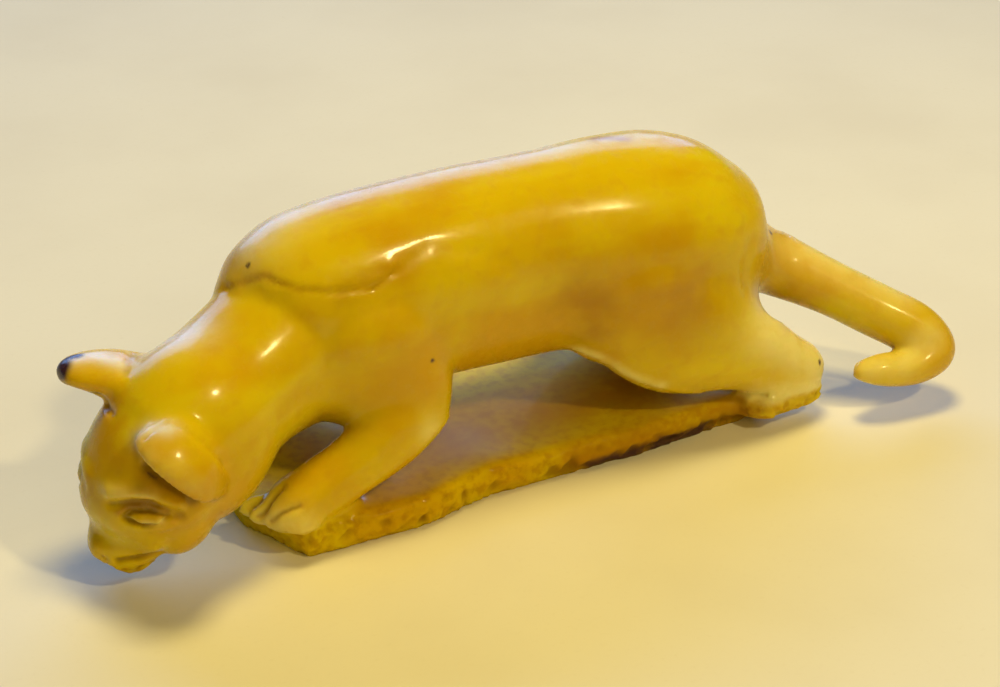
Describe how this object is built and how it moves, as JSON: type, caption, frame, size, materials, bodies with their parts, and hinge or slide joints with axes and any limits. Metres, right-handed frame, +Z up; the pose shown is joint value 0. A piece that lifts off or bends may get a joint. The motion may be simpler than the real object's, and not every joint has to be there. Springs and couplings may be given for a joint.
{
  "type": "carved animal figurine",
  "caption": "Stalking cat and the strip of ground under it, carved from one piece of yellowed polished bone, with a low head and a tail hooked at its tip. Stands on its flat underside.",
  "frame": {"origin": "centre of the flat underside of the ground strip, on the surface that the figurine stands on", "axes": "+X from the head to the tail, +Y to the cat's right side, +Z up"},
  "size_m": [0.0992, 0.0315, 0.0329],
  "materials": {
    "bone": "polished, honey-yellow, slightly see-through"
  },
  "bodies": {
    "root": {"cat_on_ground": "bone"}
  },
  "joints": []
}
